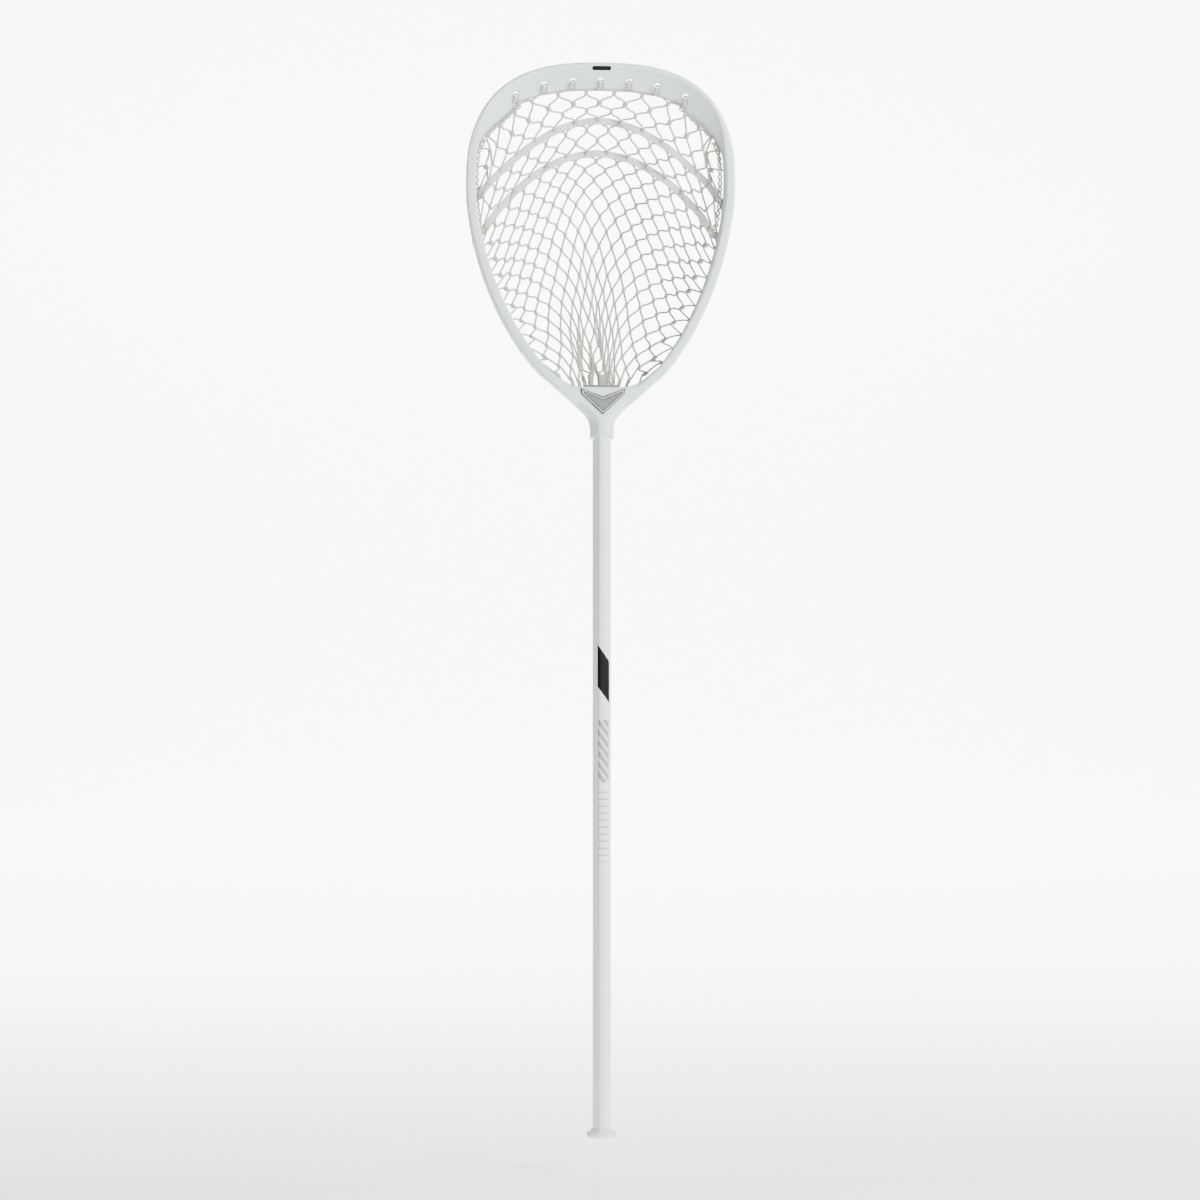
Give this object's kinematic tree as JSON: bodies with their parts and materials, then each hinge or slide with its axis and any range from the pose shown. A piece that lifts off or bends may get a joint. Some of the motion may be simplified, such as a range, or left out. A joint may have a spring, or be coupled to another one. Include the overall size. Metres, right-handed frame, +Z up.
{
  "type": "lacrosse stick",
  "caption": "Goalkeeper's lacrosse stick: octagonal tube shaft with a butt cap, wide moulded head with a deep knotted mesh pocket and flat shooting laces",
  "frame": {"origin": "centre of the butt cap's flat end, on the shaft's axis", "axes": "+Z runs up the shaft to the scoop, -Y is the open face of the head, +X is to the right seen from the open face"},
  "size_m": [0.3334, 0.1438, 1.3221],
  "materials": {
    "white_plastic": "moulded white plastic, satin to glossy",
    "silver_badge": "satin silver plating with a bright bevel",
    "foam": "dense felt-faced foam",
    "screw_steel": "zinc-plated steel",
    "white_coat": "satin white coat on alloy tube",
    "cap_rubber": "soft white rubber, matte",
    "net_cord": "knotted white mesh cord",
    "string": "twisted nylon string, off-white",
    "lace": "flat woven lace, off-white"
  },
  "bodies": {
    "stick": {"head_frame": "white_plastic", "throat_badge": "silver_badge", "ball_stop": "foam", "head_screw": "screw_steel", "shaft": "white_coat", "pocket_net": "net_cord", "top_string": "string", "left_sidewall_string": "string", "right_sidewall_string": "string", "throat_string": "string", "upper_shooting_lace": "lace", "lower_shooting_lace": "lace"},
    "cap": {"end_cap": "cap_rubber"}
  },
  "joints": [
    {"name": "cap_pull", "type": "slide", "parent": "stick", "child": "cap", "axis": [0, 0, -1], "range_m": [0, 0.045]}
  ]
}
